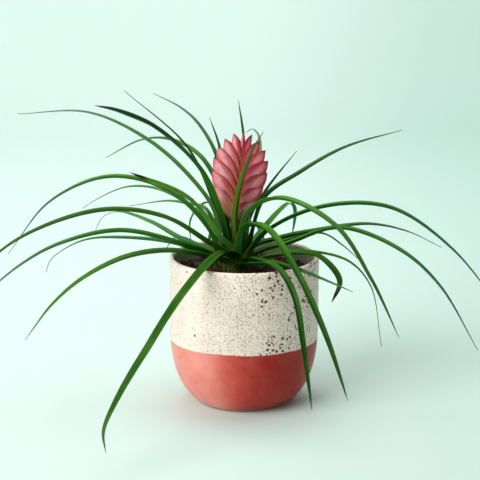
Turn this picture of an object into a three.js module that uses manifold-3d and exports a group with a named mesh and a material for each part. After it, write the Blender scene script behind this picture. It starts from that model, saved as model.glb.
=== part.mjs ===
// A potted bromeliad of the quill kind: a round-footed glazed pot, a potting mix, a short leafy stem,
// a spiral of narrow arching leaves and one flat flower head of two-ranked bracts on a short stalk.
// Millimetres, +Z up. The origin is the middle of the pot's foot; the pot's front faces -Y.
import * as THREE from "three";
import { mergeVertices } from "three/addons/utils/BufferGeometryUtils.js";
import Module from "manifold-3d";

const wasm = await Module();
wasm.setup();
const { degToRad, euclideanModulo, lerp } = THREE.MathUtils;

// Driving dimensions
const clearance = 0.3;
const pot = {
  radius: 57.5, height: 114, wall: 4, floor: 6, footRadius: 34, shoulder: 80, roundness: 3.2, sides: 40,
};
const mix = { edge: 101, middle: 99, lump: 0.9, rows: 5 };
const crown = {
  x: -7, foot: 100.5, top: 119, footRadius: 15.5, topRadius: 6.2, rootRadius: 9, rootDepth: 34,
};
const stalk = { radius: 2.6, seat: 7, lean: -1.8, head: 141 };
const head = {
  lean: 8.2, turn: 12, bracts: 14, width: 20.5, height: 68, thickness: 5.2, firstTip: 19, insertion: 46,
};
const spiral = { start: 52.5, step: -137.5, settle: 4 };
const blade = { edge: 0.8, keel: 1.2, rootFold: 14, fold: 38, tipFold: 8, tipWidth: 1, sheath: 7 };

const colours = {
  glaze: 0xe3d6c6,
  mix: 0x3a2418,
  stem: 0x6f7f3a,
  leaf: 0x2f7a24,
  stalk: 0x4f7a2c,
  bract: 0xd06a74,
};

// Leaves from the innermost to the outermost, rooted in a spiral. A leaf turns from its root's place in
// the spiral to its own azimuth, in degrees about the crown from +X towards +Y. via and tip are distances
// from the crown's axis and heights; a third number is that point's own azimuth. full says how late a
// blade narrows (1.8 where it isn't given), and body how much of its length comes before a thread-like end.
const leaves = [
  { name: "leaf_young_back", width: 5, azimuth: 82, via: [[8, 145, 76]], tip: [11, 175, 95] },
  { name: "leaf_before_head", width: 7, azimuth: 300,
    via: [[13, 150, 271], [16, 172, 287], [22, 200, 311]], tip: [27.5, 212, 320.5] },
  { name: "leaf_high_left_4", width: 7.5, azimuth: 140,
    via: [[16, 150, 143], [19, 167, 142], [35, 185], [62, 195], [93, 193]], tip: [137, 173] },
  { name: "leaf_curled", width: 7, full: 2.6, azimuth: 66,
    via: [[16, 160, 36], [29, 194, 47], [28, 204, 50], [25, 208, 58]], tip: [22, 205] },
  { name: "leaf_high_left_2", width: 8, full: 4, azimuth: 220,
    via: [[17, 151], [34, 184], [72, 218], [106, 235]], tip: [126, 241] },
  { name: "leaf_spear_left", width: 5, azimuth: 121,
    via: [[11, 150, 100], [17, 172, 112], [25, 195, 119]], tip: [38, 215] },
  { name: "leaf_front_right_1", width: 9, azimuth: 318,
    via: [[15, 147], [45, 164], [97, 151], [129, 119]], tip: [156, 80] },
  { name: "leaf_high_left_5", width: 5, full: 1.4, azimuth: 165,
    via: [[17, 150, 161], [38, 196]], tip: [87, 237] },
  { name: "leaf_high_right_1", width: 5.5, full: 1.5, azimuth: 37,
    via: [[16, 142], [33, 163]], tip: [60, 188] },
  { name: "leaf_mid_left_7", width: 8, full: 4, azimuth: 212,
    via: [[21, 132, 232], [39, 160]], tip: [89, 187] },
  { name: "leaf_high_left_3", width: 6, azimuth: 128,
    via: [[16, 150, 119], [23, 184, 126], [44, 207], [70, 219]], tip: [106, 226] },
  { name: "leaf_high_right_2", width: 8, full: 2.2, azimuth: 12,
    via: [[23, 157], [51, 176], [86, 194]], tip: [131, 206] },
  { name: "leaf_high_left_1", width: 8, azimuth: 172,
    via: [[17, 149], [34, 173], [65, 200], [111, 221]], tip: [167, 219] },
  { name: "leaf_spear_back", width: 5, azimuth: 82, via: [[10, 160, 44], [15, 201, 62]], tip: [20, 230] },
  { name: "leaf_front_right_2", width: 9, full: 2.4, azimuth: 305,
    via: [[18, 138], [45, 142], [82, 113], [118, 70]], tip: [139, 37] },
  { name: "leaf_mid_left_8", width: 6, azimuth: 158.5,
    via: [[30, 142], [60, 159], [90, 160], [117, 148]], tip: [129, 140] },
  { name: "leaf_long_right_6", width: 8, azimuth: 18,
    via: [[36, 124], [69, 128], [110, 130], [143, 122]], tip: [173, 107] },
  { name: "leaf_long_left_10", width: 9, full: 2.4, azimuth: 198,
    via: [[28, 128], [59, 149], [104, 156], [164, 139]], tip: [212, 104] },
  { name: "leaf_back_left_2", width: 5, azimuth: 115,
    via: [[22, 136], [48, 145], [72, 135], [87, 120]], tip: [85, 105] },
  { name: "leaf_long_right_3", width: 8, full: 2.4, azimuth: 355,
    via: [[29, 136], [68, 154], [117, 153], [163, 123]], tip: [208, 70] },
  { name: "leaf_mid_left_6", width: 9, full: 2.2, azimuth: 183,
    via: [[19, 131], [49, 163], [94, 175], [139, 157]], tip: [172, 117] },
  { name: "leaf_back_right_2", width: 9, azimuth: 60,
    via: [[33, 120], [52, 127], [72, 134], [90, 137], [97, 130]], tip: [92, 110] },
  { name: "leaf_front_left_15", width: 10, full: 2.4, azimuth: 242,
    via: [[30, 121], [50, 119], [89, 100], [133, 72], [169, 50], [187, 33]], tip: [185, 17] },
  { name: "leaf_mid_left_9", width: 6, azimuth: 142,
    via: [[30, 145], [47, 147], [67, 147]], tip: [107, 138] },
  { name: "leaf_long_right_5", width: 8, full: 2.4, azimuth: 345,
    via: [[43, 125], [81, 139], [127, 125], [157, 100]], tip: [187, 53] },
  { name: "leaf_low_left_12", width: 9, azimuth: 188,
    via: [[42, 125], [87, 136], [132, 127], [163, 111]], tip: [208, 74] },
  { name: "leaf_back_right_3", width: 7, azimuth: 78,
    via: [[30, 120], [62, 125], [100, 108]], tip: [138, 58] },
  { name: "leaf_low_right_10", width: 7, azimuth: 309,
    via: [[40, 116], [68, 117], [103, 115]], tip: [132, 113] },
  { name: "leaf_back_left_11", width: 9, full: 1.4, body: 0.8, azimuth: 152,
    via: [[48, 121], [77, 132], [104, 137], [119, 131]], tip: [127, 118] },
  { name: "leaf_low_right_7", width: 6, azimuth: 29,
    via: [[36, 118], [77, 122], [96, 111]], tip: [116, 94] },
  { name: "leaf_low_left_14", width: 10, azimuth: 209,
    via: [[32, 118], [61, 125], [93, 123], [126, 111], [150, 95]], tip: [172, 72] },
  { name: "leaf_back_left_3", width: 6, azimuth: 102,
    via: [[32, 122], [62, 126], [96, 108]], tip: [124, 66] },
  { name: "leaf_low_right_9", width: 7, full: 6, azimuth: 345,
    via: [[36, 116], [63, 117], [81, 100]], tip: [76, 82] },
  { name: "leaf_low_left_13", width: 7, azimuth: 168,
    via: [[40, 120], [88, 123], [121, 119], [147, 103]], tip: [152, 92] },
  { name: "leaf_back_middle", width: 6, azimuth: 92,
    via: [[30, 116], [60, 122], [88, 110]], tip: [112, 80] },
  { name: "leaf_front_right_11", width: 8, full: 2.4, azimuth: 301,
    via: [[34, 113.5], [58, 117], [81, 102], [98, 57]], tip: [108, 22] },
  { name: "leaf_back_left_4", width: 5, azimuth: 143, via: [[32, 114], [56, 120]], tip: [70, 107] },
  { name: "leaf_low_right_8", width: 5, body: 0.9, azimuth: 357,
    via: [[38, 116], [66, 116], [88, 109], [104, 90]], tip: [113, 43] },
];

// The pot's outline at a height: straight above the shoulder, a rounded curve below it.
function outlineRadius(height, radius, depth) {
  if (height >= pot.shoulder) return radius;
  const fall = (pot.shoulder - height) / depth;
  return radius * (1 - fall ** pot.roundness) ** (1 / pot.roundness);
}

const footShare = (pot.footRadius / pot.radius) ** pot.roundness;
const outerDepth = pot.shoulder / (1 - footShare) ** (1 / pot.roundness);
const innerRadius = pot.radius - pot.wall;
const innerDepth = outerDepth - pot.wall;

// Points up a curved wall, closer together where it turns towards the foot.
function wallPoints(radius, depth, low, high, steps) {
  const points = [];
  for (let i = 0; i <= steps; i += 1) {
    const height = low + (high - low) * (i / steps) ** 1.5;
    points.push([outlineRadius(height, radius, depth), height]);
  }
  return points;
}

function lathe(profile, sides) {
  const points = profile.map(([radius, height]) => new THREE.Vector2(radius, height));
  return new THREE.LatheGeometry(points, sides).rotateX(Math.PI / 2);
}

function toSolid(geometry) {
  const plain = geometry.clone();
  plain.deleteAttribute("normal");
  plain.deleteAttribute("uv");
  const merged = mergeVertices(plain, 1e-4);
  return new wasm.Manifold(new wasm.Mesh({
    numProp: 3,
    vertProperties: Float32Array.from(merged.attributes.position.array),
    triVerts: Uint32Array.from(merged.index.array),
  }));
}

function fromSolid(solid) {
  const mesh = solid.getMesh();
  const geometry = new THREE.BufferGeometry();
  geometry.setAttribute("position", new THREE.BufferAttribute(mesh.vertProperties, 3));
  geometry.setIndex(new THREE.BufferAttribute(mesh.triVerts, 1));
  return geometry;
}

// Joins rings of equal length into one closed skin with a flat end at each side.
function skin(rings) {
  const around = rings[0].length;
  const positions = rings.flat().flatMap((point) => point.toArray());
  const index = [];
  const last = (rings.length - 1) * around;
  for (let j = 1; j < around - 1; j += 1) {
    index.push(0, j + 1, j);
    index.push(last, last + j, last + j + 1);
  }
  for (let i = 0; i < rings.length - 1; i += 1) {
    for (let j = 0; j < around; j += 1) {
      const a = i * around + j;
      const b = i * around + (j + 1) % around;
      index.push(a, b, a + around, b, b + around, a + around);
    }
  }
  const geometry = new THREE.BufferGeometry();
  geometry.setAttribute("position", new THREE.Float32BufferAttribute(positions, 3));
  geometry.setIndex(index);
  return geometry;
}


function potGeometry() {
  const lip = pot.wall / 2;
  const rim = [];
  for (let i = 0; i <= 6; i += 1) {
    const turn = Math.PI * i / 6;
    rim.push([pot.radius - lip + lip * Math.cos(turn), pot.height - lip + lip * Math.sin(turn)]);
  }
  return lathe([
    [0, 0],
    ...wallPoints(pot.radius, outerDepth, 0, pot.shoulder, 8),
    ...rim,
    ...wallPoints(innerRadius, innerDepth, pot.floor, pot.shoulder, 7).reverse(),
    [0, pot.floor],
  ], pot.sides);
}

// The potting mix fills the pot to a lumpy top, with a plain round hole for the plant's root.
function mixGeometry() {
  const edge = innerRadius - clearance;
  const low = pot.floor + clearance;
  const wall = wallPoints(edge, innerDepth - clearance, low, pot.shoulder, 7);
  const top = [];
  for (let i = 0; i < mix.rows; i += 1) {
    top.push([edge * (1 - i / mix.rows), lerp(mix.edge, mix.middle, i / mix.rows)]);
  }
  const geometry = lathe([[0, low], ...wall, ...top, [0, mix.middle]], pot.sides);
  const place = geometry.attributes.position;
  for (let i = 0; i < place.count; i += 1) {
    const [x, y, z] = [place.getX(i), place.getY(i), place.getZ(i)];
    const inside = Math.hypot(x, y) < edge - 1 && z > pot.shoulder;
    if (inside) place.setZ(i, z + mix.lump * Math.sin(x * 0.9) * Math.cos(y * 0.8 + x * 0.3));
  }
  const depth = crown.rootDepth + 2 * clearance;
  const holeRadius = crown.rootRadius + clearance;
  const hole = new THREE.CylinderGeometry(holeRadius, holeRadius, depth, 32);
  hole.rotateX(Math.PI / 2).translate(crown.x, 0, crown.foot - depth / 2);
  return fromSolid(toSolid(geometry).subtract(toSolid(hole)));
}

function crownRadius(height) {
  return lerp(crown.footRadius, crown.topRadius, (height - crown.foot) / (crown.top - crown.foot));
}

// The short stem: a root in the mix, a cone that the leaves stand round, and a socket for the stalk.
function crownGeometry() {
  const socket = stalk.radius + clearance;
  return lathe([
    [0, crown.foot - crown.rootDepth],
    [crown.rootRadius - 2, crown.foot - crown.rootDepth],
    [crown.rootRadius, crown.foot - crown.rootDepth + 3],
    [crown.rootRadius, crown.foot],
    [crown.footRadius, crown.foot + 1],
    [crown.topRadius, crown.top],
    [socket, crown.top],
    [socket, crown.top - stalk.seat],
    [0, crown.top - stalk.seat],
  ], 32).translate(crown.x, 0, 0);
}

// The stalk's middle line, from its socket in the crown to inside the flower head, and extra beyond that.
function stalkCurve(extra) {
  return new THREE.CatmullRomCurve3([
    new THREE.Vector3(crown.x, 0, crown.top - stalk.seat + clearance),
    new THREE.Vector3(crown.x, 0, crown.top + 1),
    new THREE.Vector3(crown.x + stalk.lean * 0.8, 0, stalk.head - 8),
    new THREE.Vector3(crown.x + stalk.lean, 0, stalk.head),
    new THREE.Vector3(crown.x + stalk.lean + (6 + extra) * Math.sin(degToRad(head.lean)), 0,
      stalk.head + 6 + extra),
  ], false, "centripetal");
}

function tube(curve, radius, steps, sides) {
  const rings = [];
  for (let i = 0; i <= steps; i += 1) {
    const centre = curve.getPointAt(i / steps);
    const along = curve.getTangentAt(i / steps);
    const side = new THREE.Vector3(0, 1, 0).cross(along).normalize();
    const other = along.clone().cross(side);
    rings.push(Array.from({ length: sides }, (_, j) => {
      const turn = 2 * Math.PI * j / sides;
      return centre.clone().addScaledVector(side, radius * Math.cos(turn))
        .addScaledVector(other, radius * Math.sin(turn));
    }));
  }
  return skin(rings);
}

// One bract, boat-shaped: its keel is the head's outer edge and its two margins wrap the bracts above it.
// place is its position along the head, from 0 for the lowest to 1 for the highest, and side is 1 or -1.
function bractGeometry(place, side) {
  const insertion = head.insertion * place;
  const tip = head.firstTip + (head.height - head.firstTip) * (1 - (1 - place) ** 1.6);
  const reach = head.width * Math.sin(Math.PI * (0.25 + 0.73 * place));
  const half = head.thickness * (1 - 0.5 * place);
  const length = tip - insertion;
  const keel = new THREE.QuadraticBezierCurve(
    new THREE.Vector2(side * 2.5, insertion - 3),
    new THREE.Vector2(side * (reach * 0.98 + 1.5), insertion + length * 0.4),
    new THREE.Vector2(side * reach, tip));
  const margin = new THREE.QuadraticBezierCurve(
    new THREE.Vector2(-side * 2.5, insertion + 4),
    new THREE.Vector2(side * reach * 0.25, insertion + length * 0.62),
    new THREE.Vector2(side * (reach - 0.8), tip - 0.6));
  const steps = 6;
  const rings = [];
  for (let i = 0; i <= steps; i += 1) {
    const t = i / steps;
    const outer = keel.getPoint(t);
    const inner = margin.getPoint(t);
    const middle = outer.clone().lerp(inner, 0.5);
    const swell = half * (1 - t ** 2.2) * (0.75 + 0.5 * t) + 0.5;
    const ring = [
      [outer, -0.5], [middle, -0.78 * swell], [inner, -swell],
      [inner, swell], [middle, 0.78 * swell], [outer, 0.5],
    ];
    rings.push(ring.map(([at, front]) => new THREE.Vector3(at.x, front, at.y)));
  }
  if (side > 0) rings.forEach((ring) => ring.reverse());
  return skin(rings);
}

// The flower head: bracts in two ranks round a slim core, leaning and turned as one, bored for its stalk.
function headGeometry() {
  const core = lathe([[0, -2], [3.4, -2], [3.8, 6], [3, 34], [1, 52], [0, 52]], 10).scale(1, 0.9, 1);
  let solid = toSolid(core);
  for (let i = 0; i < head.bracts; i += 1) {
    solid = solid.add(toSolid(bractGeometry(i / (head.bracts - 1), i % 2 ? -1 : 1)));
  }
  const placed = fromSolid(solid);
  placed.rotateZ(-degToRad(head.turn)).rotateY(degToRad(head.lean));
  placed.translate(crown.x + stalk.lean, 0, stalk.head);
  const bore = tube(stalkCurve(clearance), stalk.radius + clearance, 8, 12);
  return fromSolid(toSolid(placed).subtract(toSolid(bore)));
}

// The middle line of a leaf: it rises along the crown from its root and then goes through its own points.
function leafCurve(leaf, number) {
  const order = number / (leaves.length - 1);
  const root = spiral.start + spiral.step * number;
  const swing = euclideanModulo(root - leaf.azimuth + 180, 360) - 180;
  const turnAt = (share) => degToRad(leaf.azimuth + swing * (1 - share) ** spiral.settle);
  const place = (reach, height, angle) => new THREE.Vector3(
    crown.x + reach * Math.cos(angle), reach * Math.sin(angle), height);
  const rootHeight = lerp(crown.top - 1, crown.foot + 2, order);
  const rootReach = crownRadius(rootHeight) + 1.5 * clearance + blade.keel;
  const rise = degToRad(lerp(86, 56, order));
  const sheathReach = rootReach + blade.sheath * Math.cos(rise);
  const sheathHeight = rootHeight + blade.sheath * Math.sin(rise);
  const points = [place(rootReach, rootHeight, turnAt(0)), place(sheathReach, sheathHeight, turnAt(0.02))];
  const far = Math.max(leaf.tip[0], leaf.tip[1] - rootHeight);
  [...leaf.via, leaf.tip].forEach(([reach, height, azimuth]) => {
    const share = Math.min(1, Math.max(reach, height - rootHeight) / far);
    points.push(place(reach, height, azimuth === undefined ? turnAt(share) : degToRad(azimuth)));
  });
  return new THREE.CatmullRomCurve3(points, false, "centripetal");
}

function leafWidth(share, { width, full = 1.8, body = 1 }) {
  return Math.max(blade.tipWidth, width * (1 - Math.min(1, share / body) ** full) ** 0.7);
}

function leafFold(share) {
  const opening = Math.min(1, share / 0.16);
  const folded = lerp(blade.rootFold, blade.fold, opening);
  return degToRad(lerp(folded, blade.tipFold, Math.max(0, share - 0.5) * 2));
}

// A folded blade: a keel below, two halves that rise from it, and an edge at each side.
function leafGeometry(leaf, number) {
  const curve = leafCurve(leaf, number);
  const steps = Math.round(curve.getLength() / 15) + 4;
  const rings = [];
  for (let i = 0; i <= steps; i += 1) {
    const share = i / steps;
    const centre = curve.getPointAt(share);
    const along = curve.getTangentAt(share);
    const azimuth = Math.atan2(centre.y, centre.x - crown.x);
    const side = new THREE.Vector3(-Math.sin(azimuth), Math.cos(azimuth), 0);
    side.addScaledVector(along, -side.dot(along)).normalize();
    const up = along.clone().cross(side);
    const half = leafWidth(share, leaf) / 2;
    const fold = leafFold(share);
    const at = (across, high) => centre.clone().addScaledVector(side, across).addScaledVector(up, high);
    const across = half * Math.cos(fold);
    const high = half * Math.sin(fold);
    const edge = blade.edge / 2;
    const keel = blade.keel / 2;
    rings.push([at(-across, high + edge), at(-across, high - edge), at(0, -keel), at(across, high - edge),
      at(across, high + edge), at(0, keel)]);
  }
  return skin(rings);
}

const plant = new THREE.Group();

function addPiece(name, geometry, colour, roughness) {
  const material = new THREE.MeshStandardMaterial({ color: colour, roughness, metalness: 0 });
  const mesh = new THREE.Mesh(geometry, material);
  mesh.name = name;
  plant.add(mesh);
}

addPiece("pot", potGeometry(), colours.glaze, 0.45);
addPiece("potting_mix", mixGeometry(), colours.mix, 0.95);
addPiece("stem", crownGeometry(), colours.stem, 0.7);
leaves.forEach((leaf, i) => {
  addPiece(leaf.name, leafGeometry(leaf, i), colours.leaf, 0.5);
});
addPiece("flower_stalk", tube(stalkCurve(0), stalk.radius, 8, 12), colours.stalk, 0.6);
addPiece("flower_bracts", headGeometry(), colours.bract, 0.55);

export default plant;
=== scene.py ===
import math
import random

import bpy
import numpy as np
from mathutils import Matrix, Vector


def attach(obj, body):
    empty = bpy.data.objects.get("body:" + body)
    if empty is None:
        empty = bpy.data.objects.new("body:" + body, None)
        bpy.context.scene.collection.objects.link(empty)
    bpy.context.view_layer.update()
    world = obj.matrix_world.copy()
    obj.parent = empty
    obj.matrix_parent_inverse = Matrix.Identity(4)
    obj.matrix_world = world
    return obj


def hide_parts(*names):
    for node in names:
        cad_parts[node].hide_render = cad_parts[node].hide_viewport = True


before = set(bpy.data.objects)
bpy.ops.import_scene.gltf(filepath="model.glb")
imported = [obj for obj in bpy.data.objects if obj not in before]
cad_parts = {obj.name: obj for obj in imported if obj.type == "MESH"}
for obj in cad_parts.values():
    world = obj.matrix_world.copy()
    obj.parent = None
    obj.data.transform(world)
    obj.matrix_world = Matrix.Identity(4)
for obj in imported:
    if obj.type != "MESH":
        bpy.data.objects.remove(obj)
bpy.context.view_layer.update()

# A quill-flowered bromeliad in a dipped, glazed pot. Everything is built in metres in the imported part's own
# frame, and the settings beside each piece give millimetres where they say so.
mm = 0.001


def linearColour(hexText):
    channels = [int(hexText[i:i + 2], 16) / 255 for i in (1, 3, 5)]
    return [c / 12.92 if c <= 0.04045 else ((c + 0.055) / 1.055) ** 2.4 for c in channels] + [1.0]


# Node helpers, used by the geometry trees and by the materials

def feed(tree, socket, value):
    if isinstance(value, Field):
        tree.links.new(value.socket, socket)
    elif isinstance(value, bpy.types.NodeSocket):
        tree.links.new(value, socket)
    elif value is not None:
        socket.default_value = value


def addNode(tree, kind, inputs=None, **settings):
    node = tree.nodes.new(kind)
    for key, value in settings.items():
        setattr(node, key, value)
    for key, value in (inputs or {}).items():
        feed(tree, node.inputs[key], value)
    return node


def calc(tree, operation, *values):
    node = addNode(tree, "ShaderNodeMath", dict(enumerate(values)), operation=operation)
    return Field(tree, node.outputs[0])


class Field:
    # a number flowing through a node tree, so that a formula in a tree reads as a formula
    def __init__(self, tree, socket):
        self.tree = tree
        self.socket = socket

    def __add__(self, other):
        return calc(self.tree, "ADD", self, other)

    def __sub__(self, other):
        return calc(self.tree, "SUBTRACT", self, other)

    def __rsub__(self, other):
        return calc(self.tree, "SUBTRACT", other, self)

    def __mul__(self, other):
        return calc(self.tree, "MULTIPLY", self, other)

    def __truediv__(self, other):
        return calc(self.tree, "DIVIDE", self, other)

    def __rtruediv__(self, other):
        return calc(self.tree, "DIVIDE", other, self)

    def __pow__(self, other):
        return calc(self.tree, "POWER", self, other)

    def do(self, operation, *others):
        return calc(self.tree, operation, self, *others)

    def ramp(self, low, high, lowValue=0.0, highValue=1.0, smooth=True):
        node = addNode(self.tree, "ShaderNodeMapRange",
                       {0: self, 1: low, 2: high, 3: lowValue, 4: highValue})
        node.interpolation_type = "SMOOTHSTEP" if smooth else "LINEAR"
        return Field(self.tree, node.outputs[0])


def vectorCalc(tree, operation, *values, scale=None):
    node = addNode(tree, "ShaderNodeVectorMath", dict(enumerate(values)), operation=operation)
    if scale is not None:
        feed(tree, node.inputs["Scale"], scale)
    return node.outputs[0]


def addSockets(tree, inputs, outputs):
    # inputs and outputs are {name: socket kind}; returns the group's input and output nodes
    for name, kind in inputs.items():
        tree.interface.new_socket(name, in_out="INPUT", socket_type=kind)
    for name, kind in outputs.items():
        tree.interface.new_socket(name, in_out="OUTPUT", socket_type=kind)
    return tree.nodes.new("NodeGroupInput"), tree.nodes.new("NodeGroupOutput")


def storeAttribute(tree, geometry, name, value, kind="FLOAT", domain="POINT"):
    node = addNode(tree, "GeometryNodeStoreNamedAttribute", data_type=kind, domain=domain)
    feed(tree, node.inputs["Geometry"], geometry)
    node.inputs["Name"].default_value = name
    feed(tree, node.inputs["Value"], value)
    return node.outputs[0]


def runTree(source, tree, values, name):
    # evaluates a geometry tree on the source object and returns the result as a plain mesh object
    modifier = source.modifiers.new("shape", "NODES")
    modifier.node_group = tree
    for item in tree.interface.items_tree:
        if item.item_type == "SOCKET" and item.in_out == "INPUT" and item.name in values:
            modifier[item.identifier] = values[item.name]
    evaluated = source.evaluated_get(bpy.context.evaluated_depsgraph_get())
    mesh = bpy.data.meshes.new_from_object(evaluated)
    mesh.name = name
    source.modifiers.remove(modifier)
    bpy.data.objects.remove(source)
    return addPiece(name, mesh)


def addPiece(name, mesh, material=None):
    piece = bpy.data.objects.new(name, mesh)
    bpy.context.scene.collection.objects.link(piece)
    if material is not None:
        mesh.materials.append(material)
    return piece


def pointOutwards(mesh):
    # turns a closed mesh's faces outwards when its signed volume is negative
    mesh.calc_loop_triangles()
    places = np.array([v.co for v in mesh.vertices])
    corners = places[np.array([t.vertices for t in mesh.loop_triangles])]
    volume = np.einsum("ij,ij->i", corners[:, 0], np.cross(corners[:, 1], corners[:, 2])).sum()
    if volume < 0:
        mesh.flip_normals()


def ringMesh(name, rings, attributes):
    # joins rings of equal length into a closed skin; attributes are {name: values per ring point}
    rings = np.asarray(rings)
    count, around = rings.shape[:2]
    faces = []
    for i in range(count - 1):
        for j in range(around):
            k = (j + 1) % around
            faces.append((i * around + j, i * around + k, (i + 1) * around + k, (i + 1) * around + j))
    faces.append(tuple(reversed(range(around))))
    faces.append(tuple(range((count - 1) * around, count * around)))
    mesh = bpy.data.meshes.new(name)
    mesh.from_pydata(rings.reshape(-1, 3).tolist(), [], faces)
    for key, values in attributes.items():
        layer = mesh.attributes.new(key, "FLOAT", "POINT")
        layer.data.foreach_set("value", np.asarray(values, dtype=np.float32).ravel())
    mesh.shade_smooth()
    pointOutwards(mesh)
    return mesh


def ringTurns(around):
    return 2 * math.pi * np.arange(around) / around


def roundRing(turns, radius, height, middle=0.0):
    # a ring in metres, from a radius and a height in millimetres: one value, or one for each turn
    return np.stack([(middle + radius * np.cos(turns)) * mm, radius * np.sin(turns) * mm,
                     (height + 0 * turns) * mm], axis=1)


def placeOn(piece, nodes):
    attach(piece, "root")
    if nodes:
        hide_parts(*nodes)


# Curves

def splinePoints(points, count):
    # a centripetal spline through the points, sampled at equal steps of its length
    points = [np.array(p, dtype=float) for p in points]
    points = [2 * points[0] - points[1]] + points + [2 * points[-1] - points[-2]]
    fine = []
    for a, b, c, d in zip(points, points[1:], points[2:], points[3:]):
        ab, bc, cd = (max(np.linalg.norm(q - p), 1e-9) ** 0.5 for p, q in ((a, b), (b, c), (c, d)))
        startSlope = ((b - a) / ab - (c - a) / (ab + bc) + (c - b) / bc) * bc
        endSlope = ((c - b) / bc - (d - b) / (bc + cd) + (d - c) / cd) * bc
        for t in np.linspace(0, 1, 60, endpoint=False):
            fine.append(b + startSlope * t + (-3 * b + 3 * c - 2 * startSlope - endSlope) * t ** 2
                        + (2 * b - 2 * c + startSlope + endSlope) * t ** 3)
    fine = np.array(fine + [points[-2]])
    along = np.concatenate([[0], np.cumsum(np.linalg.norm(np.diff(fine, axis=0), axis=1))])
    wanted = np.linspace(0, along[-1], count)
    return np.stack([np.interp(wanted, along, fine[:, k]) for k in range(3)], axis=1), along[-1]


def bezierPoints(start, bend, end, shares):
    start, bend, end = (np.array(p, dtype=float) for p in (start, bend, end))
    t = np.asarray(shares)[:, None]
    return (1 - t) ** 2 * start + 2 * t * (1 - t) * bend + t ** 2 * end


# Shader helpers and the effects that several finishes share

def startMaterial(name, roughness=0.5, **sockets):
    material = bpy.data.materials.new(name)
    material.use_nodes = True
    tree = material.node_tree
    shader = tree.nodes["Principled BSDF"]
    shader.inputs["Roughness"].default_value = roughness
    for key, value in sockets.items():
        shader.inputs[key.replace("_", " ")].default_value = value
    return material, tree, shader


def mixColour(tree, share, first, second, blend="MIX"):
    node = addNode(tree, "ShaderNodeMix", data_type="RGBA", blend_type=blend)
    feed(tree, node.inputs[0], share)
    for socket, colour in ((node.inputs[6], first), (node.inputs[7], second)):
        feed(tree, socket, linearColour(colour) if isinstance(colour, str) else colour)
    return node.outputs[2]


def layColours(tree, colour, look, layers):
    # lays each (share, name of a colour) over what came before it
    for share, name in layers:
        colour = mixColour(tree, share, colour, look[name])
    return colour


def surfaceValue(tree, name):
    node = addNode(tree, "ShaderNodeAttribute", attribute_name=name)
    return Field(tree, node.outputs["Fac"])


def objectPlace(tree):
    return addNode(tree, "ShaderNodeTexCoord").outputs["Object"]


def splitPlace(tree, place):
    node = addNode(tree, "ShaderNodeSeparateXYZ", {0: place})
    return [Field(tree, output) for output in node.outputs]


def useGroup(tree, group, **values):
    node = tree.nodes.new("ShaderNodeGroup")
    node.node_tree = group
    for key, value in values.items():
        feed(tree, node.inputs[key], value)
    return [Field(tree, output) for output in node.outputs]


def addBump(tree, shader, height, distance, strength=1.0):
    node = addNode(tree, "ShaderNodeBump", {"Strength": strength, "Distance": distance, "Height": height})
    feed(tree, shader.inputs["Normal"], node.outputs[0])


def makeMottleGroup():
    # soft clouds, 0 to 1
    tree = bpy.data.node_groups.new("mottle", "ShaderNodeTree")
    source, result = addSockets(tree, {"Place": "NodeSocketVector", "Scale": "NodeSocketFloat",
                                       "Seed": "NodeSocketFloat"}, {"Clouds": "NodeSocketFloat"})
    shift = addNode(tree, "ShaderNodeCombineXYZ", {0: source.outputs["Seed"], 1: source.outputs["Seed"]})
    place = vectorCalc(tree, "ADD", source.outputs["Place"], shift.outputs[0])
    noise = addNode(tree, "ShaderNodeTexNoise", {"Vector": place, "Scale": source.outputs["Scale"],
                                                 "Detail": 3.0, "Roughness": 0.6})
    feed(tree, result.inputs["Clouds"], Field(tree, noise.outputs[0]).ramp(0.3, 0.7))
    return tree


def makeVeinGroup():
    # fine lines that run along a blade and fade in and out; Count is how many cross half its width
    tree = bpy.data.node_groups.new("veins", "ShaderNodeTree")
    source, result = addSockets(tree, {"Across": "NodeSocketFloat", "Along": "NodeSocketFloat",
                                       "Count": "NodeSocketFloat", "Seed": "NodeSocketFloat"},
                                {"Lines": "NodeSocketFloat"})
    across, along, count, seed = (Field(tree, source.outputs[k])
                                  for k in ("Across", "Along", "Count", "Seed"))
    place = addNode(tree, "ShaderNodeCombineXYZ", {0: across * count, 1: along * 5.0, 2: seed * 17.0})
    lines = addNode(tree, "ShaderNodeTexNoise", {"Vector": place.outputs[0], "Scale": 1.0, "Detail": 2.0})
    feed(tree, result.inputs["Lines"], Field(tree, lines.outputs[0]).ramp(0.3, 0.7))
    return tree


def makeSpeckGroup():
    # ragged dots: Spacing is the number of cells a metre, Size the dots' share of a cell, and Share the
    # share of the cells that hold one
    tree = bpy.data.node_groups.new("specks", "ShaderNodeTree")
    source, result = addSockets(tree, {"Place": "NodeSocketVector", "Spacing": "NodeSocketFloat",
                                       "Size": "NodeSocketFloat", "Share": "NodeSocketFloat"},
                                {"Dots": "NodeSocketFloat", "Tint": "NodeSocketFloat"})
    spacing, size, share = (Field(tree, source.outputs[k]) for k in ("Spacing", "Size", "Share"))
    ragged = addNode(tree, "ShaderNodeTexNoise", {"Vector": source.outputs["Place"], "Scale": spacing * 2.2})
    wobble = vectorCalc(tree, "SUBTRACT", ragged.outputs[1], (0.5, 0.5, 0.5))
    wobble = vectorCalc(tree, "SCALE", wobble, scale=0.7 / spacing)
    place = vectorCalc(tree, "ADD", source.outputs["Place"], wobble)
    cells = addNode(tree, "ShaderNodeTexVoronoi", {"Vector": place, "Scale": spacing})
    shares = addNode(tree, "ShaderNodeSeparateColor", {0: cells.outputs[1]})
    red, green, blue = (Field(tree, output) for output in shares.outputs)
    present = red.do("LESS_THAN", share)
    radius = size * (green * 0.6 + 0.4)
    dots = present * (radius - Field(tree, cells.outputs[0])).ramp(0.0, 0.06)
    feed(tree, result.inputs["Dots"], dots)
    feed(tree, result.inputs["Tint"], blue)
    return tree


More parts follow.
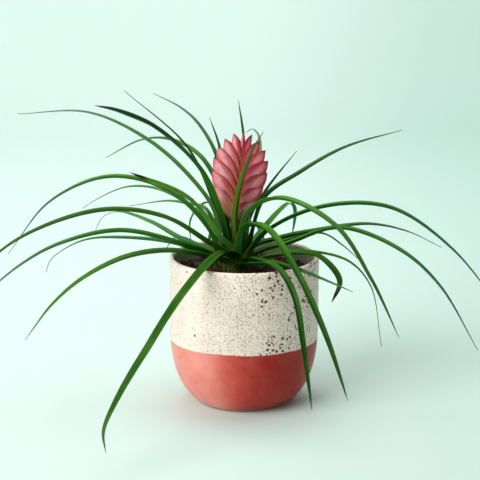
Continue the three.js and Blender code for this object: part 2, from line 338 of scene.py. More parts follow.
mottleGroup = makeMottleGroup()
veinGroup = makeVeinGroup()
speckGroup = makeSpeckGroup()


# Leaves: shared finish, one geometry tree for every blade

leafSettings = {
    # colours; deep is also the painted shade in the keel's groove and at the root
    "cool": "#0e6a14", "warm": "#529e06", "olive": "#74701a", "teal": "#2a7a58", "deep": "#021804",
    # light and underside are partly the two faces' own colours, partly painted light from above and painted
    # shade beneath
    "light": "#6cb43a", "pale": "#8fb578", "underside": "#14500b", "midrib": "#74ac42", "margin": "#7aa842",
    "sheath": "#7d8f3c", "sheathFoot": "#6a4a30", "outer": "#54846c", "darkOuter": "#06301a",
    "greyTip": "#4a705e", "dryTip": "#2e1c10", "dry": "#8d7a52", "dryFoot": "#3f2817",
    "veins": 11.0, "roughness": 0.46, "specular": 0.08,
    # the blade formula of the solids, in millimetres and degrees
    "crownX": -7, "crownFoot": 100.5, "crownTop": 119, "footRadius": 15.5, "topRadius": 6.2,
    "spiralStart": 52.5, "spiralStep": -137.5, "settle": 4, "clearance": 0.45, "keel": 1.2,
    "sheathLength": 7, "innerRise": 86, "outerRise": 56, "rootFold": 26, "fold": 40, "tipFold": 14,
    "tipWidth": 0.5, "thickness": 0.9,
    # how late a blade narrows, and how much of its length comes before a thread-like end
    "full": 1.8, "body": 1.0,
    # the finer form of the scene's blades: wrapped root, rounded keel, slight wander, rings and their sides
    "sheathSpread": 0.45, "wrapRadius": 10, "roundKeel": 0.07, "wander": 0.5,
    "ringStep": 2.0, "leastRings": 12, "around": 26, "stubAround": 18,
}


def makeLeafMaterial():
    look = leafSettings
    material, tree, shader = startMaterial("leafGreen", look["roughness"], Subsurface_Weight=0.06,
                                           Subsurface_Radius=(0.3, 1.0, 0.15), Subsurface_Scale=0.0012,
                                           Specular_IOR_Level=look["specular"])
    names = ("across", "along", "upper", "tone", "shade", "seed", "tipDry", "grey", "dry")
    across, along, upper, tone, shade, seed, tipDry, grey, dry = (surfaceValue(tree, name) for name in names)
    lines, = useGroup(tree, veinGroup, Across=across, Along=along, Count=look["veins"], Seed=seed)
    clouds, = useGroup(tree, mottleGroup, Place=objectPlace(tree), Scale=45.0, Seed=seed)
    edge = across.do("ABSOLUTE")
    colour = mixColour(tree, tone.do("MINIMUM", 1.0), look["cool"], look["warm"])
    colour = layColours(tree, colour, look, (
        ((tone - 1.0).do("MAXIMUM", 0.0), "olive"),
        ((0.0 - tone).do("MAXIMUM", 0.0), "teal"),
        # the upper face is lighter and the underside darker: partly the two faces' own colours, partly
        # painted light from above and painted shade beneath
        (upper * (clouds * 0.5 + 0.25), "light"),
        (lines * 0.45, "deep"),
        ((1.0 - upper) * 0.5, "underside"),
        # painted shade: the upper face darkens in the groove along the keel
        (edge.ramp(0.16, 0.0) * (upper * 0.55 - 0.1), "deep"),
        (edge.ramp(0.1, 0.0) * (1.0 - upper) * 0.3, "midrib"),
        (edge.ramp(0.86, 0.98) * 0.35, "margin"),
    ))
    # a shade below 1 darkens the leaf towards deep: partly its own colour, partly painted shade
    colour = mixColour(tree, shade.do("MINIMUM", 1.0), look["deep"], colour)
    dryEnd = (along + clouds * 0.03 + tipDry * 0.09 - 0.03).ramp(0.9, 0.99) * tipDry
    colour = layColours(tree, colour, look, (
        # painted shade: the blade darkens towards its root in the crown, more on the underside than on the
        # upper face
        (along.ramp(0.28, 0.02) * (0.5 - upper * 0.36), "deep"),
        (along.ramp(0.05, 0.0) * 0.4, "sheath"),
        (along.ramp(0.02, 0.0) * 0.5, "sheathFoot"),
        (along.ramp(0.4, 0.9) * grey.do("MAXIMUM", 0.0), "outer"),
        (along.ramp(0.25, 0.7) * (0.0 - grey).do("MAXIMUM", 0.0), "darkOuter"),
        (along.ramp(0.86, 1.0) * 0.4, "greyTip"),
        # a shade above 1 lays pale sage over the leaf: partly its own colour, partly painted light through a
        # backlit blade
        ((shade - 1.0).do("MAXIMUM", 0.0), "pale"),
        (dryEnd, "dryTip"),
    ))
    # dry sheaths with a low shade are darker, partly their own colour and partly painted shade in the crown,
    # and all grow darker towards their foot
    dryTone = mixColour(tree, shade.ramp(0.5, 1.0), look["dryFoot"], look["dry"])
    dryTone = mixColour(tree, along.ramp(0.75, 0.1), dryTone, look["dryFoot"])
    colour = mixColour(tree, dry, colour, mixColour(tree, lines * 0.5, dryTone, look["dryFoot"]))
    feed(tree, shader.inputs["Base Color"], colour)
    feed(tree, shader.inputs["Roughness"], dry * 0.25 + lines * 0.1 + (look["roughness"] - 0.05))
    addBump(tree, shader, lines + clouds * 0.4, distance=0.12 * mm, strength=0.55)
    return material


# name, width, azimuth, points on the way and tip, from the innermost leaf to the outermost. A point is a
# distance from the crown's axis, a height and, where it has one, its own azimuth.
leafRows = [
    ("young_back", 5, 82, [(8, 145, 76)], (11, 175, 95)),
    ("before_head", 7, 300, [(13, 150, 271), (16, 172, 287), (22, 200, 311)], (27.5, 212, 320.5)),
    ("high_left_4", 7.5, 140,
     [(16, 150, 143), (19, 167, 142), (35, 185), (62, 195), (93, 193)], (137, 173)),
    ("curled", 7, 66, [(16, 160, 36), (29, 194, 47), (28, 204, 50), (25, 208, 58)], (22, 205)),
    ("high_left_2", 8, 220, [(17, 151), (34, 184), (72, 218), (106, 235)], (126, 241)),
    ("spear_left", 5, 121, [(11, 150, 100), (17, 172, 112), (25, 195, 119)], (38, 215)),
    ("front_right_1", 9, 318, [(15, 147), (45, 164), (97, 151), (129, 119)], (156, 80)),
    ("high_left_5", 5, 165, [(17, 150, 161), (38, 196)], (87, 237)),
    ("high_right_1", 5.5, 37, [(16, 142), (33, 163)], (60, 188)),
    ("mid_left_7", 8, 212, [(21, 132, 232), (39, 160)], (89, 187)),
    ("high_left_3", 6, 128, [(16, 150, 119), (23, 184, 126), (44, 207), (70, 219)], (106, 226)),
    ("high_right_2", 8, 12, [(23, 157), (51, 176), (86, 194)], (131, 206)),
    ("high_left_1", 8, 172, [(17, 149), (34, 173), (65, 200), (111, 221)], (167, 219)),
    ("spear_back", 5, 82, [(10, 160, 44), (15, 201, 62)], (20, 230)),
    ("front_right_2", 9, 305, [(18, 138), (45, 142), (82, 113), (118, 70)], (139, 37)),
    ("mid_left_8", 6, 158.5, [(30, 142), (60, 159), (90, 160), (117, 148)], (129, 140)),
    ("long_right_6", 8, 18, [(36, 124), (69, 128), (110, 130), (143, 122)], (173, 107)),
    ("long_left_10", 9, 198, [(28, 128), (59, 149), (104, 156), (164, 139)], (212, 104)),
    ("back_left_2", 5, 115, [(22, 136), (48, 145), (72, 135), (87, 120)], (85, 105)),
    ("long_right_3", 8, 355, [(29, 136), (68, 154), (117, 153), (163, 123)], (208, 70)),
    ("mid_left_6", 9, 183, [(19, 131), (49, 163), (94, 175), (139, 157)], (172, 117)),
    ("back_right_2", 9, 60, [(33, 120), (52, 127), (72, 134), (90, 137), (97, 130)], (92, 110)),
    ("front_left_15", 10, 242,
     [(30, 121), (50, 119), (89, 100), (133, 72), (169, 50), (187, 33)], (185, 17)),
    ("mid_left_9", 6, 142, [(30, 145), (47, 147), (67, 147)], (107, 138)),
    ("long_right_5", 8, 345, [(43, 125), (81, 139), (127, 125), (157, 100)], (187, 53)),
    ("low_left_12", 9, 188, [(42, 125), (87, 136), (132, 127), (163, 111)], (208, 74)),
    ("back_right_3", 7, 78, [(30, 120), (62, 125), (100, 108)], (138, 58)),
    ("low_right_10", 7, 309, [(40, 116), (68, 117), (103, 115)], (132, 113)),
    ("back_left_11", 9, 152, [(48, 121), (77, 132), (104, 137), (119, 131)], (127, 118)),
    ("low_right_7", 6, 29, [(36, 118), (77, 122), (96, 111)], (116, 94)),
    ("low_left_14", 10, 209, [(32, 118), (61, 125), (93, 123), (126, 111), (150, 95)], (172, 72)),
    ("back_left_3", 6, 102, [(32, 122), (62, 126), (96, 108)], (124, 66)),
    ("low_right_9", 7, 345, [(36, 116), (63, 117), (81, 100)], (76, 82)),
    ("low_left_13", 7, 168, [(40, 120), (88, 123), (121, 119), (147, 103)], (152, 92)),
    ("back_middle", 6, 92, [(30, 116), (60, 122), (88, 110)], (112, 80)),
    ("front_right_11", 8, 301, [(34, 113.5), (58, 117), (81, 102), (98, 57)], (108, 22)),
    ("back_left_4", 5, 143, [(32, 114), (56, 120)], (70, 107)),
    ("low_right_8", 5, 357, [(38, 116), (66, 116), (88, 109), (104, 90)], (113, 43)),
]

# full and body of the leaves that differ from the usual
leafFullness = {
    "curled": (2.6, 1), "high_left_2": (4, 1), "high_left_5": (1.4, 1), "high_right_1": (1.5, 1),
    "mid_left_7": (4, 1), "high_right_2": (2.2, 1), "front_right_2": (2.4, 1), "long_left_10": (2.4, 1),
    "long_right_3": (2.4, 1), "mid_left_6": (2.2, 1), "front_left_15": (2.4, 1), "long_right_5": (2.4, 1),
    "back_left_11": (1.4, 0.8), "low_right_9": (6, 1), "front_right_11": (2.4, 1),
    "low_right_8": (1.8, 0.9),
}

# what sets single leaves apart: tone from blue green (below 0) to green (0), yellow green (1) and olive (2),
# shade (1 is plain, more is paler, less is darker; partly each leaf's own depth of colour and partly painted
# shade and painted light, such as the glow of a backlit leaf), how dry the tip is, how grey (or, below 0, how
# dark) the outer half is, and how many degrees that half rolls about its own length
leafTraits = {
    "before_head": {"tone": 1.85, "shade": 1.0, "grey": 0.1},
    "curled": {"tone": -0.3, "shade": 1.8, "grey": 0.3},
    "mid_left_6": {"tone": 0.7, "shade": 0.95, "grey": 0.75},
    "long_left_10": {"tone": 1.15, "shade": 0.65, "grey": -0.45},
    "mid_left_7": {"tone": 1.0, "shade": 1.1, "tipDry": 1.0, "grey": 0.0, "roll": 45},
    "spear_left": {"tone": -0.1, "shade": 0.55, "tipDry": 0.0, "grey": -0.4},
    "spear_back": {"tone": -0.1, "shade": 0.55, "tipDry": 0.0, "grey": -0.4},
    "high_right_1": {"tone": -0.1, "shade": 0.6, "tipDry": 0.0, "grey": -0.5},
    "high_left_4": {"tone": -0.5, "shade": 0.95, "tipDry": 0.0, "grey": 0.6},
    "high_left_2": {"tone": 0.4, "shade": 0.95, "tipDry": 0.4, "grey": -0.8, "roll": 50},
    "high_left_1": {"tone": 0.35, "shade": 1.12, "tipDry": 0.0, "grey": 0.6},
    "high_left_5": {"tone": -0.1, "shade": 0.6, "tipDry": 0.0, "grey": -0.5},
    "high_left_3": {"tone": -0.7, "shade": 0.75, "tipDry": 0.0, "grey": 0.6},
    "mid_left_8": {"tone": -0.6, "shade": 1.25, "tipDry": 0.0, "grey": 0.6},
    "mid_left_9": {"tone": -0.6, "shade": 1.25, "tipDry": 0.0, "grey": 0.6},
    "back_left_11": {"tone": -0.9, "shade": 1.05, "grey": 0.5, "roll": 45},
    "back_left_2": {"tone": -0.5, "shade": 1.1},
    "back_left_3": {"tone": -0.4},
    "low_left_12": {"tone": 0.2, "shade": 0.85, "tipDry": 0.0, "grey": 0.8},
    "low_left_13": {"tone": -0.8, "shade": 1.0, "tipDry": 0.0, "grey": 0.7},
    "low_right_9": {"tone": 0.75, "shade": 0.7, "tipDry": 0.8, "grey": -0.45, "roll": -45},
    "low_left_14": {"tone": 0.4, "shade": 0.72, "grey": 0.0},
    "front_left_15": {"tone": 0.3, "shade": 0.6, "grey": -0.25},
    "front_right_1": {"tone": 0.45, "shade": 1.08, "grey": -0.55},
    "front_right_2": {"tone": 0.15, "shade": 0.85, "grey": -0.55},
    "back_right_2": {"tone": 0.1, "shade": 1.05},
    "back_right_3": {"tone": -0.4},
    "front_right_11": {"tone": 0.1, "shade": 0.62, "grey": -0.4},
    "low_right_10": {"tone": 0.4, "shade": 0.5, "grey": 0.2},
    "low_right_7": {"tone": 0.2, "shade": 1.1},
    "long_right_6": {"tone": -0.1, "shade": 0.75, "tipDry": 0.0},
    "high_right_2": {"tone": -0.1, "shade": 0.65, "tipDry": 0.0, "grey": -0.25},
    "long_right_3": {"tone": -0.05, "shade": 0.85, "grey": 0.45},
    "long_right_5": {"tone": 0.25, "shade": 0.85, "grey": 0.45},
}


def makeBladeTree():
    # sweeps a folded, channelled section along a path, whose points carry the sideways direction, sideDir
    tree = bpy.data.node_groups.new("leafBlade", "GeometryNodeTree")
    numbers = ("Width", "Full", "Body", "Thickness", "Root fold", "Fold", "Tip fold", "Tip width",
               "Sheath spread", "Wrap radius", "Wander", "Tone", "Shade", "Seed", "Tip dry", "Grey", "Dry")
    sockets = {"Path": "NodeSocketGeometry", **{name: "NodeSocketFloat" for name in numbers},
               "Around": "NodeSocketInt", "Finish": "NodeSocketMaterial"}
    source, result = addSockets(tree, sockets, {"Blade": "NodeSocketGeometry"})
    given = {name: Field(tree, source.outputs[name]) for name in numbers}

    rail = addNode(tree, "GeometryNodeMeshToCurve", {0: source.outputs["Path"]})
    keepRail = addNode(tree, "GeometryNodeCaptureAttribute")
    for kind, name in (("VECTOR", "Place"), ("VECTOR", "Tangent"), ("VECTOR", "Side"), ("FLOAT", "Along")):
        keepRail.capture_items.new(kind, name)
    feed(tree, keepRail.inputs[0], rail.outputs[0])
    sideDir = addNode(tree, "GeometryNodeInputNamedAttribute", data_type="FLOAT_VECTOR")
    sideDir.inputs["Name"].default_value = "sideDir"
    feed(tree, keepRail.inputs["Place"], tree.nodes.new("GeometryNodeInputPosition").outputs[0])
    feed(tree, keepRail.inputs["Tangent"], tree.nodes.new("GeometryNodeInputTangent").outputs[0])
    feed(tree, keepRail.inputs["Side"], sideDir.outputs[0])
    feed(tree, keepRail.inputs["Along"], tree.nodes.new("GeometryNodeSplineParameter").outputs[0])

    circle = addNode(tree, "GeometryNodeCurvePrimitiveCircle",
                     {"Resolution": source.outputs["Around"], "Radius": 0.001})
    keepTurn = addNode(tree, "GeometryNodeCaptureAttribute")
    keepTurn.capture_items.new("FLOAT", "Turn")
    feed(tree, keepTurn.inputs[0], circle.outputs[0])
    feed(tree, keepTurn.inputs["Turn"], tree.nodes.new("GeometryNodeSplineParameter").outputs[0])
    swept = addNode(tree, "GeometryNodeCurveToMesh",
                    {"Curve": keepRail.outputs[0], "Profile Curve": keepTurn.outputs[0], "Fill Caps": True})

    along = Field(tree, keepRail.outputs["Along"])
    turn = Field(tree, keepTurn.outputs["Turn"])
    angle = turn * (2 * math.pi)
    across = ((turn - 0.5).do("ABSOLUTE") * 4.0 - 1.0) * 0.5 + angle.do("COSINE") * 0.5
    top = angle.do("SINE")
    rounding = (top.do("ABSOLUTE") ** 0.6) * top.do("SIGN")

    # half width: full at the root, tapering ever faster to the tip, with the sheath spread at the root
    taper = (1.0 - (along / given["Body"]).do("MINIMUM", 1.0) ** given["Full"]) ** 0.7
    half = (given["Width"] * taper).do("MAXIMUM", given["Tip width"]) * 0.5
    half = half * (along.ramp(0.14, 0.0) * given["Sheath spread"] + 1.0)
    opened = along.ramp(0.0, 0.1, smooth=False)
    fold = given["Root fold"] + (given["Fold"] - given["Root fold"]) * opened
    fold = fold + (given["Tip fold"] - given["Fold"]) * along.ramp(0.5, 1.0, smooth=False)

    # a rounded fold on the free blade, and an arc round the crown at its root
    roundKeel = leafSettings["roundKeel"]
    highest = math.hypot(1, roundKeel) - roundKeel
    lift = ((across * across + roundKeel ** 2).do("SQRT") - roundKeel) / highest
    freeX = half * fold.do("COSINE") * across
    freeZ = half * fold.do("SINE") * lift
    bend = half * across / given["Wrap radius"]
    wrapX = given["Wrap radius"] * bend.do("SINE")
    wrapZ = given["Wrap radius"] * (1.0 - bend.do("COSINE"))
    free = along.ramp(0.0, 0.1)
    thick = given["Thickness"] * (1.15 - along * 0.6) * (1.0 - across * across * 0.6)
    outX = wrapX + (freeX - wrapX) * free
    outZ = wrapZ + (freeZ - wrapZ) * free + rounding * thick * 0.5

    # the blade wanders a little to each side
    drift = addNode(tree, "ShaderNodeTexNoise", {"W": given["Seed"] * 9.0 + along * 3.5, "Scale": 1.0},
                    noise_dimensions="1D")
    outX = outX + (Field(tree, drift.outputs[0]) - 0.5) * given["Wander"] * 2.0 * along.ramp(0.05, 0.5)

    side, tangent = keepRail.outputs["Side"], keepRail.outputs["Tangent"]
    upward = vectorCalc(tree, "CROSS_PRODUCT", tangent, side)
    place = vectorCalc(tree, "ADD", keepRail.outputs["Place"], vectorCalc(tree, "SCALE", side, scale=outX))
    place = vectorCalc(tree, "ADD", place, vectorCalc(tree, "SCALE", upward, scale=outZ))
    blade = addNode(tree, "GeometryNodeSetPosition", {"Geometry": swept.outputs[0], "Position": place})
    blade = blade.outputs[0]
    for name, value in (("across", across), ("along", along), ("upper", top.ramp(-0.15, 0.15)),
                        ("tone", given["Tone"]), ("shade", given["Shade"]), ("seed", given["Seed"]),
                        ("tipDry", given["Tip dry"]), ("grey", given["Grey"]), ("dry", given["Dry"])):
        blade = storeAttribute(tree, blade, name, value)
    flat = addNode(tree, "ShaderNodeCombineXYZ", {0: across * 0.5 + 0.5, 1: along})
    blade = storeAttribute(tree, blade, "UVMap", flat.outputs[0], "FLOAT2", "CORNER")
    blade = addNode(tree, "GeometryNodeSetShadeSmooth", {0: blade}).outputs[0]
    blade = addNode(tree, "GeometryNodeRealizeInstances", {0: blade}).outputs[0]
    dressed = addNode(tree, "GeometryNodeSetMaterial",
                      {"Geometry": blade, "Material": source.outputs["Finish"]})
    feed(tree, result.inputs["Blade"], dressed.outputs[0])
    return tree


def crownRadius(height):
    shape = leafSettings
    share = (height - shape["crownFoot"]) / (shape["crownTop"] - shape["crownFoot"])
    return shape["footRadius"] + (shape["topRadius"] - shape["footRadius"]) * share


def crownPoint(reach, height, azimuth):
    return (leafSettings["crownX"] + reach * math.cos(azimuth), reach * math.sin(azimuth), height)


def leafPath(azimuth, via, tip, number):
    # the middle line of a leaf in millimetres, from its root beside the crown to its tip
    shape = leafSettings
    order = number / (len(leafRows) - 1)
    root = shape["spiralStart"] + shape["spiralStep"] * number
    swing = (root - azimuth + 180) % 360 - 180

    def turnAt(share):
        return math.radians(azimuth + swing * (1 - share) ** shape["settle"])

    rootHeight = shape["crownTop"] - 1 + (shape["crownFoot"] + 3 - shape["crownTop"]) * order
    rootReach = crownRadius(rootHeight) + shape["clearance"] + shape["keel"]
    rise = math.radians(shape["innerRise"] + (shape["outerRise"] - shape["innerRise"]) * order)
    points = [
        crownPoint(rootReach, rootHeight, turnAt(0)),
        crownPoint(rootReach + shape["sheathLength"] * math.cos(rise),
                   rootHeight + shape["sheathLength"] * math.sin(rise), turnAt(0.02)),
    ]
    far = max(tip[0], tip[1] - rootHeight)
    for point in via + [tip]:
        share = min(1, max(point[0], point[1] - rootHeight) / far)
        turn = math.radians(point[2]) if len(point) > 2 else turnAt(share)
        points.append(crownPoint(point[0], point[1], turn))
    return points


def pathObject(points, count, roll):
    # a chain of edges along the spline through the points, with the blade's sideways direction on each
    places = splinePoints(np.array(points) * mm, count)[0]
    mesh = bpy.data.meshes.new("path")
    mesh.from_pydata(places.tolist(), [(i, i + 1) for i in range(count - 1)], [])
    tangents = np.gradient(places, axis=0)
    tangents /= np.linalg.norm(tangents, axis=1)[:, None]
    azimuths = np.arctan2(places[:, 1], places[:, 0] - leafSettings["crownX"] * mm)
    sides = np.stack([-np.sin(azimuths), np.cos(azimuths), np.zeros(count)], axis=1)
    sides -= tangents * np.einsum("ij,ij->i", sides, tangents)[:, None]
    sides /= np.linalg.norm(sides, axis=1)[:, None]
    # the roll sets in at about a quarter of the length and is full well before the tip
    turns = math.radians(roll) * np.clip(np.linspace(-0.4, 1.3, count), 0, 1)[:, None]
    sides = sides * np.cos(turns) - np.cross(tangents, sides) * np.sin(turns)
    layer = mesh.attributes.new("sideDir", "FLOAT_VECTOR", "POINT")
    layer.data.foreach_set("vector", sides.astype(np.float32).ravel())
    holder = bpy.data.objects.new("path", mesh)
    bpy.context.scene.collection.objects.link(holder)
    return holder


def pathLength(points):
    return splinePoints(points, 3)[1]


def makeBlade(name, tree, points, width, finish, roll=0, **extra):
    shape = leafSettings
    count = max(shape["leastRings"], round(pathLength(points) / shape["ringStep"]))
    values = {
        "Width": width * mm, "Thickness": shape["thickness"] * mm, "Tip width": shape["tipWidth"] * mm,
        "Root fold": math.radians(shape["rootFold"]), "Fold": math.radians(shape["fold"]),
        "Tip fold": math.radians(shape["tipFold"]), "Sheath spread": shape["sheathSpread"],
        "Wrap radius": shape["wrapRadius"] * mm, "Wander": shape["wander"] * mm, "Around": shape["around"],
        "Full": shape["full"], "Body": shape["body"], "Tone": 0.4, "Shade": 1.0, "Seed": 0.0,
        "Tip dry": 0.2, "Grey": 0.3, "Dry": 0.0, "Finish": finish, **extra,
    }
    blade = runTree(pathObject(points, count, roll), tree, values, name)
    pointOutwards(blade.data)
    return blade


def makeLeaves():
    draw = random.Random(7)
    for number, (name, width, azimuth, via, tip) in enumerate(leafRows):
        traits = {"tone": draw.uniform(0.15, 0.6), "shade": draw.uniform(0.85, 1.1),
                  "tipDry": draw.choice((0.0, 0.0, 0.3)), "grey": 0.4, "roll": 0, **leafTraits.get(name, {})}
        full, body = leafFullness.get(name, (leafSettings["full"], leafSettings["body"]))
        points = leafPath(azimuth, via, tip, number)
        leaf = makeBlade("blade_" + name, bladeTree, points, width, leafMaterial, roll=traits["roll"],
                         Full=float(full), Body=float(body), Tone=traits["tone"], Shade=traits["shade"],
                         Grey=traits["grey"], Seed=number * 0.37, **{"Tip dry": traits["tipDry"]})
        placeOn(leaf, ["leaf_" + name])


leafMaterial = makeLeafMaterial()
bladeTree = makeBladeTree()
makeLeaves()
print("leaves made")


# Crown: the short stem, with the dry sheaths of old leaves standing round its foot

crownSettings = {
    "pale": "#7d7a48", "green": "#33501c", "brown": "#3a2616", "roughness": 0.6,
    # millimetres; an old sheath stands in the bed, bellies out by a little and leans over at its top
    "around": 48, "ripple": 0.02, "rippleFrom": 99, "sheathFoot": 97, "sheathReach": 16.6,
    "sheathBelly": 17.2, "sheathTop": 16.8, "lean": 3.5, "leanChange": 2.5, "tipShare": 0.35,
}
# height and radius, from the foot of the root to the top of the crown
crownOutline = [
    (66, 3.0), (66.6, 6.5), (68, 8.2), (72, 8.9), (94, 8.9), (99.8, 9.6), (101.2, 14.6), (103, 14.4),
    (106, 12.8), (110, 10.8), (114, 8.8), (117, 7.3), (118.8, 6.2), (119, 3.2),
]
# azimuth, width, height, dryness and shade of each old sheath; a low shade darkens a dry sheath, partly its
# own colour and partly painted shade in the crown
oldSheaths = [
    (242, 7.5, 17, 0.3, 0.7), (256, 5, 11, 1.0, 1.0), (228, 5.5, 12, 1.0, 0.6), (206, 6, 10, 1.0, 0.7),
    (184, 5, 9, 1.0, 0.6), (150, 5, 11, 1.0, 0.8), (118, 6, 9, 1.0, 0.7), (80, 5, 10, 1.0, 0.8),
    (40, 5, 9, 1.0, 0.6), (334, 5, 9, 0.9, 0.6), (278, 5, 8, 1.0, 0.6),
]


def makeCrownMaterial():
    look = crownSettings
    material, tree, shader = startMaterial("crownSheath", look["roughness"])
    place = objectPlace(tree)
    height = splitPlace(tree, place)[2]
    clouds, = useGroup(tree, mottleGroup, Place=place, Scale=120.0, Seed=3.0)
    colour = mixColour(tree, height.ramp(0.1, 0.122), look["brown"], look["green"])
    colour = mixColour(tree, clouds * 0.25, colour, look["pale"])
    feed(tree, shader.inputs["Base Color"], colour)
    addBump(tree, shader, clouds, distance=0.4 * mm)
    return material


def makeCrown():
    shape = crownSettings
    turns = ringTurns(shape["around"])
    rings = []
    for height, radius in crownOutline:
        ripple = 1 + shape["ripple"] * np.sin(5 * turns + height) if height > shape["rippleFrom"] else 1
        rings.append(roundRing(turns, radius * ripple, height, leafSettings["crownX"]))
    core = addPiece("crownHeart", ringMesh("crownHeart", rings, {}), makeCrownMaterial())
    placeOn(core, ["stem"])
    for number, (azimuth, width, height, dry, shade) in enumerate(oldSheaths):
        turn = math.radians(azimuth)
        lean = shape["lean"] + shape["leanChange"] * math.sin(number * 2.3)
        foot = shape["sheathFoot"]
        points = [crownPoint(shape["sheathReach"], foot, turn),
                  crownPoint(shape["sheathBelly"], foot + height * 0.5, turn),
                  crownPoint(shape["sheathTop"] + lean * 0.6, foot + height, turn)]
        stub = makeBlade(f"oldSheath{number + 1}", bladeTree, points, width, leafMaterial,
                         Around=leafSettings["stubAround"], Tone=0.6, Shade=shade, Seed=number * 1.7,
                         Dry=dry, **{"Tip width": width * shape["tipShare"] * mm})
        placeOn(stub, [])


makeCrown()
print("crown made")


# Flower stalk, with three small green bracts pressed to it

stalkSettings = {
    "green": "#557a2a", "red": "#8a4a38", "dark": "#2c4416", "roughness": 0.45,
    # millimetres; seat and sink are how far it stands in the crown and in the head, and bracts are azimuths
    # and heights
    "radius": 2.418, "seat": 7, "sink": 6, "lean": -1.8, "head": 141, "swell": 0.08, "swells": 5,
    "rings": 26, "around": 32, "bracts": [(200, 118), (20, 125), (250, 131)],
    "bractWay": [(2.7, 0), (3.5, 5), (4.0, 11)], "bractWidth": 4, "bractWrap": 3,
}


def makeStalk():
    shape = stalkSettings
    turns = ringTurns(shape["around"])
    foot, top = leafSettings["crownTop"] - shape["seat"], shape["head"] + shape["sink"]
    rings = []
    for t in np.linspace(0, 1, shape["rings"]):
        middle = leafSettings["crownX"] + shape["lean"] * t ** 1.5
        swell = 1 + shape["swell"] * math.sin(math.pi * shape["swells"] * t)
        rings.append(roundRing(turns, shape["radius"] * swell, foot + (top - foot) * t, middle))
    material, tree, shader = startMaterial("stalkGreen", shape["roughness"])
    place = objectPlace(tree)
    rise = splitPlace(tree, place)[2]
    clouds, = useGroup(tree, mottleGroup, Place=place, Scale=150.0, Seed=5.0)
    colour = mixColour(tree, rise.ramp(0.13, 0.146), shape["green"], shape["red"])
    feed(tree, shader.inputs["Base Color"], mixColour(tree, clouds * 0.3, colour, shape["dark"]))
    placeOn(addPiece("stalkRound", ringMesh("stalkRound", rings, {}), material), ["flower_stalk"])
    for number, (azimuth, height) in enumerate(shape["bracts"]):
        turn = math.radians(azimuth)
        points = [crownPoint(reach, height + step, turn) for reach, step in shape["bractWay"]]
        bract = makeBlade(f"stalkBract{number + 1}", bladeTree, points, shape["bractWidth"], leafMaterial,
                          Around=leafSettings["stubAround"], Tone=0.6, Shade=1.1, Seed=number + 0.5,
                          **{"Wrap radius": shape["bractWrap"] * mm})
        placeOn(bract, [])


makeStalk()
print("stalk made")


# Flower head: two ranks of overlapping, boat-shaped bracts

bractSettings = {
    # pale is also the painted highlight down each bract, and crimson and dusky are partly painted shade on
    # the right
    "rose": "#d0344e", "pale": "#f8b4b6", "crimson": "#ac1838", "dusky": "#964048", "peach": "#cc6c38",
    # line is also the painted shade in the seams between bracts
    "line": "#740c1e", "tip": "#4a2620", "foot": "#c09c72", "roughness": 0.45,
    # the whole head, in millimetres and degrees
    "count": 14, "lean": 8.2, "turn": 12, "width": 20.5, "height": 68, "thickness": 5.2, "firstTip": 19,
    "insertion": 46,
    # one bract: its foot's reach, where its keel and its open margin start and how far each bows out, the
    # least half thickness, the rounded lip, the hollow between the margins and the beak at the tip
    "footReach": 2.5, "keelDrop": 3, "marginRise": 4, "keelBow": 1.1, "keelOut": 2.4, "keelBend": 0.52,
    "marginBow": 0.16, "marginBend": 0.9, "tipIn": 0.4, "tipDrop": 0.3, "skin": 0.2, "lip": 0.22,
    "hollow": 0.5, "beak": 0.6, "beakRise": 0.5, "lowBeak": 2.4, "beakFrom": 0.7,
    "rings": 36, "flank": 11, "marginSteps": (0.6, 0.2, -0.2, -0.6),
}


def makeBractMaterial():
    look = bractSettings
    material, tree, shader = startMaterial("bractPink", look["roughness"], Subsurface_Weight=0.25,
                                           Subsurface_Radius=(1.0, 0.3, 0.2), Subsurface_Scale=0.003,
                                           Specular_IOR_Level=0.2)
    place = objectPlace(tree)
    across, along, rank, side = (surfaceValue(tree, name) for name in ("across", "along", "rank", "side"))
    clouds, = useGroup(tree, mottleGroup, Place=place, Scale=90.0, Seed=rank)
    lines, = useGroup(tree, veinGroup, Across=across, Along=along, Count=7.0, Seed=rank)
    right = side.ramp(-0.5, 0.5)
    colour = mixColour(tree, clouds * 0.5 + 0.15 - rank.ramp(0.55, 0.95) * 0.3, look["rose"], look["pale"])
    # painted highlight: a pale band down the bulge of each bract, stronger on the left-hand rank that faces
    # the light
    highlightBand = across.ramp(0.1, 0.4) * across.ramp(0.75, 0.5) * along.ramp(0.2, 0.55) * along.ramp(0.95, 0.7)
    colour = layColours(tree, colour, look, (
        # the right-hand rank is deeper crimson and dusky: partly the bracts' own colour, partly painted shade
        # on the side away from the light
        (right * 0.65, "crimson"),
        (right * rank.ramp(0.75, 0.2) * 0.6, "dusky"),
        (highlightBand * (0.8 - right * 0.35), "pale"),
        (along.ramp(0.5, 0.15) * 0.75, "peach"),
        (lines * 0.3, "line"),
        # painted shade: dark red along each margin, in the seams where the bracts overlap
        (across.ramp(0.6, 0.98) * 0.75, "line"),
        (along.ramp(0.88, 0.99), "tip"),
        (rank.ramp(0.3, 0.0) * along.ramp(0.6, 0.1) * 0.7, "foot"),
    ))
    feed(tree, shader.inputs["Base Color"], colour)
    addBump(tree, shader, lines + clouds * 0.5, distance=0.15 * mm, strength=0.5)
    return material


